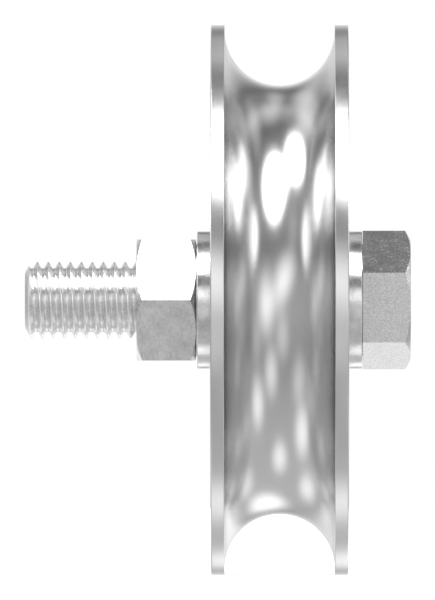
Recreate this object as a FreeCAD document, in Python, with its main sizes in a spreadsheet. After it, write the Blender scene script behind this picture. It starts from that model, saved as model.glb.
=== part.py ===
import FreeCAD, Part
import math
import os

import Sketcher

# Sliding gate wheel. A turned steel wheel with a round groove runs on a sealed ball bearing. The bolt and its
# nut clamp the bearing's inner ring between two stepped collars, and the bolt's free end is the mounting stud.
# Millimetres, +Z up. The origin is the wheel's centre, the axle lies along Y, and the bolt head is at +Y.
# A turned piece is drawn as a section: the first coordinate runs along the axle, the second is the radius.

doc = FreeCAD.newDocument("sliding_gate_wheel")

# Driving dimensions: every size that can be set by itself, written once
SIZES = {
    # Wheel: the groove is as wide as the rail is thick, and the bearing sits in its middle
    "wheel_diameter": 100.0,
    "wheel_width": 25.0,
    "rail_diameter": 20.0,
    "groove_depth": 11.0,
    "rim_edge": 0.25,
    "bore_edge": 0.8,
    "shoulder_step": 2.5,
    # Bearing 20 x 47 x 14, with its balls on a circle and races a little wider than the balls
    "bearing_bore": 20.0,
    "bearing_outside": 47.0,
    "bearing_width": 14.0,
    "bearing_corner": 1.0,
    "ball_diameter": 7.938,
    "ball_circle": 33.5,
    "race_play": 0.03,
    "race_fit": 0.52,
    "shoulder_height": 1.65,
    # Seals: a bead snapped into the outer ring, and a lip that runs close to a step of the inner ring
    "seal_thickness": 1.2,
    "seal_inset": 0.4,
    "seal_step": 1.2,
    "seal_bead": 0.4,
    "seal_bead_width": 0.8,
    "seal_relief": 0.3,
    "lip_land_step": 0.9,
    "lip_thickness": 0.6,
    "lip_gap": 0.1,
    "lip_side_gap": 0.2,
    # Ball cage: two pressed ribbons, riveted between the pockets
    "cage_thickness": 0.7,
    "cage_ribbon": 3.1,
    "pocket_play": 0.12,
    "rivet_diameter": 1.2,
    "rivet_head": 2.2,
    "rivet_head_height": 0.4,
    "rivet_play": 0.02,
    # Retaining ring: wider at the back than at the lugs, which lie a little to each side of its gap
    "ring_thickness": 1.75,
    "ring_side_play": 0.1,
    "ring_groove_depth": 1.25,
    "ring_edge_play": 0.05,
    "ring_back": 4.4,
    "ring_front": 3.0,
    "lug_depth": 6.4,
    "lug_radius": 2.9,
    "lug_angle": 15.0,
    "plier_hole": 2.5,
    "gap_angle": 7.0,
    # Collars: a rim a little inside the hexagons' corners, which stands proud of the wheel, and a spigot in
    # the inner ring's bore, with a gap between the two spigots
    "collar_inset": 0.2,
    "collar_stand": 2.5,
    "collar_edge": 0.3,
    "spigot_gap": 1.0,
    "spigot_play": 0.02,
    "spigot_edge": 0.4,
    "bolt_play": 0.1,
    # Bolt and nut, M14: head_turn and nut_turn raise the hexagon's first corner from +X
    "bolt_diameter": 14.0,
    "thread_pitch": 2.0,
    "stud_length": 20.3,
    "point_step": 1.9,
    "across_flats": 22.0,
    "head_height": 8.8,
    "head_turn": 22.7,
    "nut_height": 11.0,
    "nut_turn": 0.0,
    "washer_face": 0.2,
    "washer_face_inset": 0.8,
    "flat_inset": 0.2,
    "thread_play": 0.02,
    "countersink_step": 0.55,
}
BALLS = 8
HEX_SIDES = 6
CHAMFER_ANGLE = 30
CUTTER_REACH = 1.05
# Drop of a metric thread's pitch diameter under its outside diameter, per millimetre of pitch
PITCH_DROP = 0.6495

sheet = doc.addObject("Spreadsheet::Sheet", "size")
for row, (alias, value) in enumerate(SIZES.items(), start=1):
    sheet.set(f"A{row}", alias.replace("_", " "))
    sheet.set(f"B{row}", str(value))
    sheet.setAlias(f"B{row}", alias)
doc.recompute()

# Places that several pieces share
WHEEL_FACE = "(size.wheel_width / 2)"
WHEEL_RIM = "(size.wheel_diameter / 2)"
RAIL_RADIUS = "(size.rail_diameter / 2)"
RAIL_CENTRE = f"({WHEEL_RIM} - size.groove_depth + {RAIL_RADIUS})"
BEARING_FACE = "(size.bearing_width / 2)"
BEARING_RIM = "(size.bearing_outside / 2)"
BEARING_BORE = "(size.bearing_bore / 2)"
BALL_PATH = "(size.ball_circle / 2)"
BALL_RADIUS = "(size.ball_diameter / 2)"
RACE_RADIUS = "(size.ball_diameter * size.race_fit)"
OUTER_RACE = f"({BALL_PATH} + {BALL_RADIUS} + size.race_play)"
INNER_RACE = f"({BALL_PATH} - {BALL_RADIUS} - size.race_play)"
OUTER_LAND = f"({OUTER_RACE} - size.shoulder_height)"
INNER_LAND = f"({INNER_RACE} + size.shoulder_height)"
RACE_HALF = f"sqrt(2 * {RACE_RADIUS} * size.shoulder_height - size.shoulder_height ^ 2)"
SEAL_OUTSIDE = f"({BEARING_FACE} - size.seal_inset)"
SEAL_INSIDE = f"({SEAL_OUTSIDE} - size.seal_thickness)"
SEAL_BEAD_END = f"({SEAL_INSIDE} + size.seal_bead_width)"
SEAL_SEAT = f"({OUTER_LAND} + size.seal_step)"
SEAL_SNAP = f"({SEAL_SEAT} + size.seal_bead)"
LIP_LAND = f"({INNER_LAND} - size.lip_land_step)"
LIP_EDGE = f"({LIP_LAND} + size.lip_gap)"
RING_NEAR = f"({BEARING_FACE} + size.ring_side_play)"
RING_GROOVE_END = f"({RING_NEAR} + size.ring_thickness + size.ring_side_play)"
RING_GROOVE = f"({BEARING_RIM} + size.ring_groove_depth)"
HEX_FLAT = "(size.across_flats / 2)"
HEX_CORNER = "(size.across_flats / sqrt(3))"
COLLAR_RIM = f"({HEX_CORNER} - size.collar_inset)"
WASHER_FACE = f"({HEX_FLAT} - size.washer_face_inset)"
COLLAR_BORE = "(size.bolt_diameter / 2 + size.bolt_play)"
COLLAR_END = f"({WHEEL_FACE} + size.collar_stand)"
SPIGOT = f"({BEARING_BORE} - size.spigot_play)"
SPIGOT_END = "(size.spigot_gap / 2)"
BOLT_RADIUS = "(size.bolt_diameter / 2)"
PITCH_RADIUS = f"({BOLT_RADIUS} - {PITCH_DROP} * size.thread_pitch / 2)"
NUT_END = f"({COLLAR_END} + size.nut_height)"
BOLT_END = f"({NUT_END} + size.stud_length)"
HEAD_END = f"({COLLAR_END} + size.head_height)"


def size(expression):
    """The value of an expression on the sheet."""
    value = sheet.evalExpression(str(expression))
    return float(getattr(value, "Value", value))


def mirrored(corners):
    """The same corners on the other side of the wheel's middle, in reverse order."""
    return [(f"-({along})", radius) for along, radius in reversed(corners)]


def symmetric(right, arcs):
    """Corners and arcs of a section that is alike on both sides, from those of its +Y half."""
    last = 2 * len(right) - 2
    both = dict(arcs)
    for edge, (along, radius, clockwise) in arcs.items():
        if edge < len(right) - 1:
            both[last - edge] = (f"-({along})", radius, clockwise)
    return right + mirrored(right), both


def new_sketch(body, name, role, lift="0"):
    """A sketch on one of the body's own origin planes, moved along the plane's normal by lift."""
    sketch = body.newObject("Sketcher::SketchObject", name)
    planes = [feature for feature in body.Origin.OriginFeatures if feature.Role == role]
    sketch.AttachmentSupport = [(planes[0], "")]
    sketch.MapMode = "FlatFace"
    sketch.setExpression(".AttachmentOffset.Base.z", lift)
    return sketch


def bind(sketch, kind, expression, *ends):
    """A dimension from the sketch's origin to a point, or of a curve, driven by the sheet."""
    value = size(expression)
    index = sketch.addConstraint(Sketcher.Constraint(kind, *ends, value))
    sketch.setExpression(f"Constraints[{index}]", expression)


def outline(sketch, corners, arcs=None):
    """A closed outline through the corners. An arc edge is given by its first corner's number, its centre and
    whether it runs clockwise."""
    arcs = arcs or {}
    count = len(corners)
    spots = [FreeCAD.Vector(size(across), size(up), 0) for across, up in corners]
    ends = []
    for edge in range(count):
        start, end = spots[edge], spots[(edge + 1) % count]
        if edge in arcs:
            across, up, clockwise = arcs[edge]
            centre = FreeCAD.Vector(size(across), size(up), 0)
            first, last = (end, start) if clockwise else (start, end)
            angle_1 = math.atan2(first.y - centre.y, first.x - centre.x)
            angle_2 = math.atan2(last.y - centre.y, last.x - centre.x)
            if angle_2 <= angle_1:
                angle_2 += 2 * math.pi
            circle = Part.Circle(centre, FreeCAD.Vector(0, 0, 1), centre.distanceToPoint(start))
            curve = sketch.addGeometry(Part.ArcOfCircle(circle, angle_1, angle_2))
            ends.append((curve, 2, 1) if clockwise else (curve, 1, 2))
        else:
            ends.append((sketch.addGeometry(Part.LineSegment(start, end)), 1, 2))
    for edge, (curve, start, end) in enumerate(ends):
        following = ends[(edge + 1) % count]
        sketch.addConstraint(Sketcher.Constraint("Coincident", curve, end, following[0], following[1]))
        bind(sketch, "DistanceX", corners[edge][0], -1, 1, curve, start)
        bind(sketch, "DistanceY", corners[edge][1], -1, 1, curve, start)
        if edge in arcs:
            chord = spots[(edge + 1) % count] - spots[edge]
            if abs(chord.x) >= abs(chord.y):
                bind(sketch, "DistanceY", arcs[edge][1], -1, 1, curve, 3)
            else:
                bind(sketch, "DistanceX", arcs[edge][0], -1, 1, curve, 3)


def add_circle(sketch, radius, across="0", up="0"):
    """A circle with its centre and radius driven by the sheet."""
    centre = FreeCAD.Vector(size(across), size(up), 0)
    curve = sketch.addGeometry(Part.Circle(centre, FreeCAD.Vector(0, 0, 1), size(radius)))
    bind(sketch, "DistanceX", across, -1, 1, curve, 3)
    bind(sketch, "DistanceY", up, -1, 1, curve, 3)
    bind(sketch, "Radius", radius, curve)


def new_body(label):
    """A body with its label."""
    body = doc.addObject("PartDesign::Body", label)
    body.Label = label
    return body


def spun(body, name, corners, arcs=None, kind="Revolution"):
    """Turn a section about the axle, or cut it away with kind Groove."""
    sketch = new_sketch(body, f"{body.Label}_{name}_section", "YZ_Plane")
    outline(sketch, corners, arcs)
    feature = body.newObject(f"PartDesign::{kind}", f"{body.Label}_{name}")
    feature.Profile = sketch
    feature.ReferenceAxis = (sketch, ["H_Axis"])
    feature.Angle = 360
    sketch.Visibility = False
    body.Tip = feature
    doc.recompute()
    return feature


def padded(body, name, sketch, length, kind="Pad", outward=False):
    """Extrude a sketch that lies across the axle, towards -Y, or towards +Y if outward."""
    feature = body.newObject(f"PartDesign::{kind}", f"{body.Label}_{name}")
    feature.Profile = sketch
    feature.setExpression("Length", length)
    feature.Reversed = outward
    sketch.Visibility = False
    body.Tip = feature
    doc.recompute()
    return feature


def turned_piece(label, corners, arcs=None):
    """A body that is one turned section."""
    body = new_body(label)
    spun(body, "turned", corners, arcs)
    return body


def wheel():
    """The wheel: rims and rail groove outside, and a stepped bore with the bearing's seat open to the nut
    side and the retaining ring's groove beside it."""
    shoulder = f"({BEARING_RIM} - size.shoulder_step)"
    corners = [
        (f"-{WHEEL_FACE}", f"{BEARING_RIM} + size.bore_edge"),
        (f"-{WHEEL_FACE}", f"{WHEEL_RIM} - size.rim_edge"),
        (f"-{WHEEL_FACE} + size.rim_edge", WHEEL_RIM),
        (f"-{RAIL_RADIUS}", WHEEL_RIM),
        (f"-{RAIL_RADIUS}", RAIL_CENTRE),
        (RAIL_RADIUS, RAIL_CENTRE),
        (RAIL_RADIUS, WHEEL_RIM),
        (f"{WHEEL_FACE} - size.rim_edge", WHEEL_RIM),
        (WHEEL_FACE, f"{WHEEL_RIM} - size.rim_edge"),
        (WHEEL_FACE, f"{shoulder} + size.bore_edge"),
        (f"{WHEEL_FACE} - size.bore_edge", shoulder),
        (BEARING_FACE, shoulder),
        (BEARING_FACE, BEARING_RIM),
        (f"-{BEARING_FACE}", BEARING_RIM),
        (f"-{BEARING_FACE}", RING_GROOVE),
        (f"-{RING_GROOVE_END}", RING_GROOVE),
        (f"-{RING_GROOVE_END}", BEARING_RIM),
        (f"-{WHEEL_FACE} + size.bore_edge", BEARING_RIM),
    ]
    return turned_piece("wheel_body", corners, {4: ("0", RAIL_CENTRE, False)})


def bearing_rings():
    """The outer and the inner ring, each with its race, and the outer with the seats of the two seals."""
    corner_out = (f"{BEARING_FACE} - size.bearing_corner", f"{BEARING_RIM} - size.bearing_corner")
    outer = [
        (corner_out[0], BEARING_RIM),
        (BEARING_FACE, corner_out[1]),
        (BEARING_FACE, SEAL_SEAT),
        (SEAL_BEAD_END, SEAL_SEAT),
        (SEAL_BEAD_END, SEAL_SNAP),
        (SEAL_INSIDE, SEAL_SNAP),
        (SEAL_INSIDE, OUTER_LAND),
        (RACE_HALF, OUTER_LAND),
    ]
    outer_arcs = {0: (*corner_out, True), 7: ("0", f"{OUTER_RACE} - {RACE_RADIUS}", False)}
    corner_in = (f"{BEARING_FACE} - size.bearing_corner", f"{BEARING_BORE} + size.bearing_corner")
    lip_wall = f"{SEAL_INSIDE} - size.lip_side_gap"
    inner = [
        (RACE_HALF, INNER_LAND),
        (lip_wall, INNER_LAND),
        (lip_wall, LIP_LAND),
        (BEARING_FACE, LIP_LAND),
        (BEARING_FACE, corner_in[1]),
        (corner_in[0], BEARING_BORE),
    ]
    inner_arcs = {4: (*corner_in, True), 11: ("0", f"{INNER_RACE} + {RACE_RADIUS}", False)}
    return [
        turned_piece("bearing_outer_ring", *symmetric(outer, outer_arcs)),
        turned_piece("bearing_inner_ring", *symmetric(inner, inner_arcs)),
    ]


def around(piece, angle, along="0", radius=BALL_PATH):
    """Place a piece on the ball circle, at an angle from straight up."""
    piece.setExpression(".Placement.Base.x", f"{radius} * sin({angle})")
    piece.setExpression(".Placement.Base.y", along)
    piece.setExpression(".Placement.Base.z", f"{radius} * cos({angle})")


def balls():
    """The balls, evenly round the ball circle."""
    made = []
    for number in range(BALLS):
        ball = doc.addObject("Part::Sphere", f"bearing_ball_{number + 1}")
        ball.Label = f"bearing_ball_{number + 1}"
        ball.setExpression("Radius", BALL_RADIUS)
        around(ball, 360 * number / BALLS)
        made.append(ball)
    return made


def drum(name, radius, length, along="0", angle=None):
    """A cylinder that points to +Y, on the axle or, with an angle, on the ball circle."""
    cylinder = doc.addObject("Part::Cylinder", name)
    cylinder.setExpression("Radius", radius)
    cylinder.setExpression("Height", length)
    cylinder.Placement.Rotation = FreeCAD.Rotation(FreeCAD.Vector(1, 0, 0), -90)
    if angle is None:
        cylinder.setExpression(".Placement.Base.y", along)
    else:
        around(cylinder, angle, along)
    return cylinder


def combined(kind, name, base, tool):
    """A cut or a common of two shapes."""
    result = doc.addObject(f"Part::{kind}", name)
    result.Base = base
    result.Tool = tool
    return result


def fused(name, pieces):
    """Several shapes joined into one."""
    result = doc.addObject("Part::MultiFuse", name)
    result.Shapes = pieces
    return result


def cage_half(label, side):
    """One pressed half of the cage: a flat ribbon with a dome over each ball, and a hole for each rivet.
    side is 1 for the half on the bolt head's side and -1 for the other."""
    dome = f"({BALL_RADIUS} + size.pocket_play + size.cage_thickness)"
    inner = f"{BALL_PATH} - size.cage_ribbon / 2"
    outer = f"{BALL_PATH} + size.cage_ribbon / 2"
    start = "0" if side > 0 else f"-{dome}"
    plate_start = "0" if side > 0 else "-size.cage_thickness"
    shells, pockets, holes = [], [], []
    for number in range(BALLS):
        for name, radius, group in (
            ("dome", dome, shells),
            ("pocket", f"{BALL_RADIUS} + size.pocket_play", pockets),
        ):
            sphere = doc.addObject("Part::Sphere", f"{label}_{name}_{number + 1}")
            sphere.setExpression("Radius", radius)
            around(sphere, 360 * number / BALLS)
            group.append(sphere)
        angle = 360 * (number + 0.5) / BALLS
        holes.append(
            drum(
                f"{label}_hole_{number + 1}",
                "size.rivet_diameter / 2 + size.rivet_play",
                "size.cage_thickness",
                plate_start,
                angle,
            )
        )
    plate = drum(f"{label}_plate", outer, "size.cage_thickness", plate_start)
    solid = fused(f"{label}_solid", [plate, *shells])
    band = combined(
        "Cut",
        f"{label}_band",
        drum(f"{label}_band_outside", outer, dome, start),
        drum(f"{label}_band_inside", inner, dome, start),
    )
    pressed = combined("Common", f"{label}_pressed", solid, band)
    half = combined("Cut", label, pressed, fused(f"{label}_openings", [*pockets, *holes]))
    half.Label = label
    return half


def cage_rivets():
    """The rivets between the pockets, with a flat head on each side."""
    plate = "size.cage_thickness"
    head_end = f"{plate} + size.rivet_head_height"
    right = [
        (plate, "size.rivet_diameter / 2"),
        (plate, "size.rivet_head / 2"),
        (head_end, "size.rivet_head / 2"),
        (head_end, "0"),
    ]
    made = []
    for number in range(BALLS):
        rivet = turned_piece(f"cage_rivet_{number + 1}", right + mirrored(right))
        around(rivet, 360 * (number + 0.5) / BALLS)
        made.append(rivet)
    return made


def seal(label, side):
    """A rubber seal: a bead in the outer ring's seat, a relieved web, and a lip close to the inner ring."""
    web_out = f"{SEAL_SEAT} - size.seal_thickness"
    web_in = f"{LIP_EDGE} + size.seal_thickness"
    corners = [
        (SEAL_INSIDE, SEAL_SNAP),
        (SEAL_BEAD_END, SEAL_SNAP),
        (SEAL_BEAD_END, SEAL_SEAT),
        (SEAL_OUTSIDE, SEAL_SEAT),
        (SEAL_OUTSIDE, web_out),
        (f"{SEAL_OUTSIDE} - size.seal_relief", f"{web_out} - size.seal_relief"),
        (f"{SEAL_OUTSIDE} - size.seal_relief", f"{web_in} + size.seal_relief"),
        (SEAL_OUTSIDE, web_in),
        (f"{SEAL_INSIDE} + size.lip_thickness", LIP_EDGE),
        (SEAL_INSIDE, LIP_EDGE),
    ]
    return turned_piece(label, corners if side > 0 else mirrored(corners))


def retaining_ring():
    """The retaining ring in the wheel's bore: wide at the back, narrow towards two lugs with plier holes. It
    is open at the top."""
    body = new_body("retaining_ring")
    rim = f"({RING_GROOVE} - size.ring_edge_play)"
    inner = f"({rim} - (size.ring_back + size.ring_front) / 2)"
    shift = "(size.ring_back - size.ring_front) / 2"
    lug_path = f"({rim} - size.lug_depth + size.lug_radius)"
    ring = new_sketch(body, "retaining_ring_outline", "XZ_Plane", RING_NEAR)
    add_circle(ring, rim)
    add_circle(ring, inner, "0", shift)
    padded(body, "blank", ring, "size.ring_thickness")
    lugs = new_sketch(body, "retaining_ring_lugs", "XZ_Plane", RING_NEAR)
    holes = new_sketch(body, "retaining_ring_plier_holes", "XZ_Plane", RING_NEAR)
    for side in (-1, 1):
        across = f"{side} * {lug_path} * sin(size.lug_angle)"
        up = f"{lug_path} * cos(size.lug_angle)"
        add_circle(lugs, "size.lug_radius", across, up)
        add_circle(holes, "size.plier_hole / 2", across, up)
    padded(body, "lugs_pad", lugs, "size.ring_thickness")
    padded(body, "plier_holes_cut", holes, "size.ring_thickness", "Pocket")
    gap = new_sketch(body, "retaining_ring_gap", "XZ_Plane", RING_NEAR)
    outline(
        gap,
        [
            ("0", "0"),
            (f"{WHEEL_RIM} * sin(size.gap_angle)", f"{WHEEL_RIM} * cos(size.gap_angle)"),
            (f"-{WHEEL_RIM} * sin(size.gap_angle)", f"{WHEEL_RIM} * cos(size.gap_angle)"),
        ],
    )
    padded(body, "gap_cut", gap, "size.ring_thickness", "Pocket")
    return body


def collar(label, side):
    """A stepped collar: its spigot fits the inner ring's bore, its shoulder stands on the inner ring, and its
    outer face stands proud of the wheel."""
    corners = [
        (SPIGOT_END, COLLAR_BORE),
        (SPIGOT_END, f"{SPIGOT} - size.spigot_edge"),
        (f"{SPIGOT_END} + size.spigot_edge", SPIGOT),
        (BEARING_FACE, SPIGOT),
        (BEARING_FACE, COLLAR_RIM),
        (f"{COLLAR_END} - size.collar_edge", COLLAR_RIM),
        (COLLAR_END, f"{COLLAR_RIM} - size.collar_edge"),
        (COLLAR_END, f"{COLLAR_BORE} + size.collar_edge"),
        (f"{COLLAR_END} - size.collar_edge", COLLAR_BORE),
    ]
    return turned_piece(label, corners if side > 0 else mirrored(corners))


def hexagon(body, name, lift, length, turn, outward):
    """A hexagonal prism across the axle, with its first corner turned up from +X."""
    sketch = new_sketch(body, f"{body.Label}_{name}_outline", "XZ_Plane", lift)
    corners = []
    for number in range(HEX_SIDES):
        angle = f"({turn} + {360 * number / HEX_SIDES})"
        corners.append(
            (
                f"{HEX_CORNER} * cos({angle})",
                f"{HEX_CORNER} * sin({angle})",
            )
        )
    outline(sketch, corners)
    padded(body, name, sketch, length, outward=outward)


def corner_chamfer(body, name, face, inward):
    """Turn the corners of a hexagon away at a shallow angle, from the flat circle on its end face. inward is
    the direction from that face into the metal, 1 or -1 along Y."""
    start = f"({HEX_FLAT} - size.flat_inset)"
    reach = f"{HEX_CORNER} * {CUTTER_REACH}"
    depth = f"({reach} - {start}) * tan({CHAMFER_ANGLE})"
    corners = [(face, start), (face, reach), (f"{face} + {inward} * {depth}", reach)]
    spun(body, name, corners, kind="Groove")


def bolt():
    """The bolt: a shank with a chamfered point, and a hexagon head with a washer face under it. Bolt and nut
    meet at the thread's pitch diameter, and the free thread has its outside diameter."""
    body = new_body("bolt")
    point = f"{BOLT_RADIUS} - size.point_step"
    taper = f"size.point_step * tan({CHAMFER_ANGLE})"
    under_head = f"{COLLAR_END} + size.washer_face"
    shank = [
        (f"-{BOLT_END}", "0"),
        (f"-{BOLT_END}", point),
        (f"-{BOLT_END} + {taper}", BOLT_RADIUS),
        (f"-{NUT_END}", BOLT_RADIUS),
        (f"-{NUT_END}", PITCH_RADIUS),
        (f"-{COLLAR_END}", PITCH_RADIUS),
        (f"-{COLLAR_END}", BOLT_RADIUS),
        (COLLAR_END, BOLT_RADIUS),
        (COLLAR_END, WASHER_FACE),
        (under_head, WASHER_FACE),
        (under_head, "0"),
    ]
    spun(body, "shank", shank)
    hexagon(body, "head", f"-({under_head})", f"{HEAD_END} - ({under_head})", "size.head_turn", True)
    corner_chamfer(body, "head_chamfer", HEAD_END, -1)
    return body


def nut():
    """The nut: chamfered on both faces, with a washer face towards the collar and a countersunk bore."""
    body = new_body("nut")
    seat = f"({COLLAR_END} + size.washer_face)"
    bore = f"({PITCH_RADIUS} + size.thread_play)"
    mouth = f"({BOLT_RADIUS} + size.countersink_step)"
    sink = f"(({mouth} - {bore}) * tan({CHAMFER_ANGLE}))"
    hexagon(body, "hexagon", seat, f"{NUT_END} - {seat}", "size.nut_turn", False)
    corner_chamfer(body, "outer_chamfer", f"-{NUT_END}", 1)
    corner_chamfer(body, "seat_chamfer", f"-{seat}", -1)
    face = [
        (f"-{seat}", "0"),
        (f"-{seat}", WASHER_FACE),
        (f"-{COLLAR_END}", WASHER_FACE),
        (f"-{COLLAR_END}", "0"),
    ]
    spun(body, "washer_face", face)
    through = [
        (f"-{NUT_END}", "0"),
        (f"-{NUT_END}", mouth),
        (f"-{NUT_END} + {sink}", bore),
        (f"-{COLLAR_END} - {sink}", bore),
        (f"-{COLLAR_END}", mouth),
        (f"-{COLLAR_END}", "0"),
    ]
    spun(body, "bore", through, kind="Groove")
    return body


pieces = [
    wheel(),
    *bearing_rings(),
    *balls(),
    cage_half("cage_half_nut_side", -1),
    cage_half("cage_half_head_side", 1),
    *cage_rivets(),
    seal("seal_nut_side", -1),
    seal("seal_head_side", 1),
    retaining_ring(),
    collar("collar_nut_side", -1),
    collar("collar_head_side", 1),
    bolt(),
    nut(),
]
doc.recompute()

for item in doc.Objects:
    if "Invalid" in item.State or "Error" in item.State:
        raise RuntimeError(f"{item.Label} could not be made: {item.State}")

os.makedirs("parts", exist_ok=True)
for piece in pieces:
    shape = piece.Shape
    if shape.isNull() or not shape.isValid() or len(shape.Solids) != 1:
        raise RuntimeError(f"{piece.Label} is not one sound solid")
    shape.exportStep(f"parts/{piece.Label}.step")
    print(f"{piece.Label}: {shape.Volume:.1f} mm3")
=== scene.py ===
import logging
import math
from dataclasses import dataclass, field
from enum import Enum
from typing import Any, Iterable, Optional, Union

import bmesh
import bpy
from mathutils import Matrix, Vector


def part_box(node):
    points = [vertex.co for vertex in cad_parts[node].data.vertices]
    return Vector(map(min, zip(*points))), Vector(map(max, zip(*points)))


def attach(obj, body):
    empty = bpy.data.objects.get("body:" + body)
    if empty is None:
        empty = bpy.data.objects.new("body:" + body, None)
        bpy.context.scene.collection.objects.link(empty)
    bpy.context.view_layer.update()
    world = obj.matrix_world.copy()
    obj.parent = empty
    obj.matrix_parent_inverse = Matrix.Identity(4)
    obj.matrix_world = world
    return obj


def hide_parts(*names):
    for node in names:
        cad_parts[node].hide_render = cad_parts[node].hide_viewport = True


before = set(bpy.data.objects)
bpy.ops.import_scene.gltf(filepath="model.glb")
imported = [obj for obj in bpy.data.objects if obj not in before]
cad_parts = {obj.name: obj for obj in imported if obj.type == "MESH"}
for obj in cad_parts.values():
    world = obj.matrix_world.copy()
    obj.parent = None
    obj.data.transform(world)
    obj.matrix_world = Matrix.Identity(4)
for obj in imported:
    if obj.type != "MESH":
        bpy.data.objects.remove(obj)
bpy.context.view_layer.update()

MM = 0.001
TURN = 360.0
HEX_SIDES = 6
HEX_CHAMFER = math.radians(30)
MERGE_LIMIT = 0.0005 * MM
THREAD_MARGIN = 0.2 * MM
PHOTO_WIDE = 435
PHOTO_TALL = 600
PHOTO_MIDDLE = 279.67
PIXEL = 0.18195 * MM
Spot = tuple[float, float]
log = logging.getLogger("gate_wheel")


class Join(Enum):
    """How one solid acts on another."""

    COMMON = "INTERSECT"
    TAKE_AWAY = "DIFFERENCE"
    ADD = "UNION"


class Side(Enum):
    """The two sides of the wheel along the axle."""

    NUT = -1
    HEAD = 1

    @property
    def word(self) -> str:
        """The side's word in the names of the pieces."""
        return f"{self.name.lower()}_side"


@dataclass(frozen=True)
class Reach:
    """How far a CAD node reaches: along the axle from low to high, and out from the axle."""

    low: float
    high: float
    out: float

    @classmethod
    def of(cls, node: str) -> "Reach":
        """Read the reach of a node from the frame.

        Args:
            node: name of the CAD node.

        Returns:
            Its ends along Y and its largest distance from the axle along X.
        """
        lowest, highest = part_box(node)
        return cls(lowest.y, highest.y, highest.x)


def deselect() -> None:
    """Leave nothing selected, so that the next operator acts on its own piece only."""
    bpy.ops.object.select_all(action="DESELECT")


def pick(piece: bpy.types.Object) -> None:
    """Make one piece the only selected and active object."""
    deselect()
    piece.select_set(True)
    bpy.context.view_layer.objects.active = piece


def named(piece: bpy.types.Object, name: str) -> bpy.types.Object:
    """Name a piece and its mesh alike."""
    piece.name = name
    piece.data.name = name
    return piece


def apply_modifier(piece: bpy.types.Object, modifier: bpy.types.Modifier) -> None:
    """Apply a modifier, so that the piece keeps a plain mesh."""
    pick(piece)
    bpy.ops.object.modifier_apply(modifier=modifier.name)


def combine(piece: bpy.types.Object, tool: bpy.types.Object, join: Join) -> bpy.types.Object:
    """Let a tool solid act on a piece and remove the tool.

    Args:
        piece: the solid that stays.
        tool: the solid that is used up.
        join: what is done with it.

    Returns:
        The piece.
    """
    modifier = piece.modifiers.new(join.name.lower(), "BOOLEAN")
    modifier.operation = join.value
    modifier.solver = "EXACT"
    modifier.object = tool
    apply_modifier(piece, modifier)
    pick(tool)
    bpy.ops.object.delete()
    return piece


def cleaned(piece: bpy.types.Object, limit: float = MERGE_LIMIT) -> bpy.types.Object:
    """Merge the doubles and slivers that combining solids leaves.

    Args:
        piece: the solid to clean.
        limit: distance below which two corners become one.

    Returns:
        The piece.
    """
    pick(piece)
    bpy.ops.object.mode_set(mode="EDIT")
    bpy.ops.mesh.select_mode(type="VERT")
    bpy.ops.mesh.select_all(action="SELECT")
    bpy.ops.mesh.remove_doubles(threshold=limit)
    bpy.ops.mesh.dissolve_degenerate(threshold=limit)
    bpy.ops.object.mode_set(mode="OBJECT")
    return piece


def round_edges(
    piece: bpy.types.Object, width: float, steps: int = 2, limit: float = 25.0
) -> bpy.types.Object:
    """Break the sharp edges of a piece with small rounds.

    Args:
        piece: the solid to finish.
        width: width of the rounds.
        steps: faces across a round.
        limit: angle in degrees above which an edge counts as sharp.

    Returns:
        The piece.
    """
    rounds = piece.modifiers.new("rounds", "BEVEL")
    rounds.width = width
    rounds.segments = steps
    rounds.limit_method = "ANGLE"
    rounds.angle_limit = math.radians(limit)
    apply_modifier(piece, rounds)
    return piece


def shade(piece: bpy.types.Object, limit: float = 35.0, flat_weight: int = 80) -> bpy.types.Object:
    """Shade a piece smoothly up to a limit angle, with its large faces kept flat.

    Args:
        piece: the finished solid.
        limit: angle in degrees above which an edge stays sharp.
        flat_weight: how strongly large faces count, 50 being neutral.

    Returns:
        The piece.
    """
    pick(piece)
    bpy.ops.object.shade_smooth_by_angle(angle=math.radians(limit))
    weights = piece.modifiers.new("flat faces", "WEIGHTED_NORMAL")
    weights.keep_sharp = True
    weights.weight = flat_weight
    apply_modifier(piece, weights)
    return piece


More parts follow.
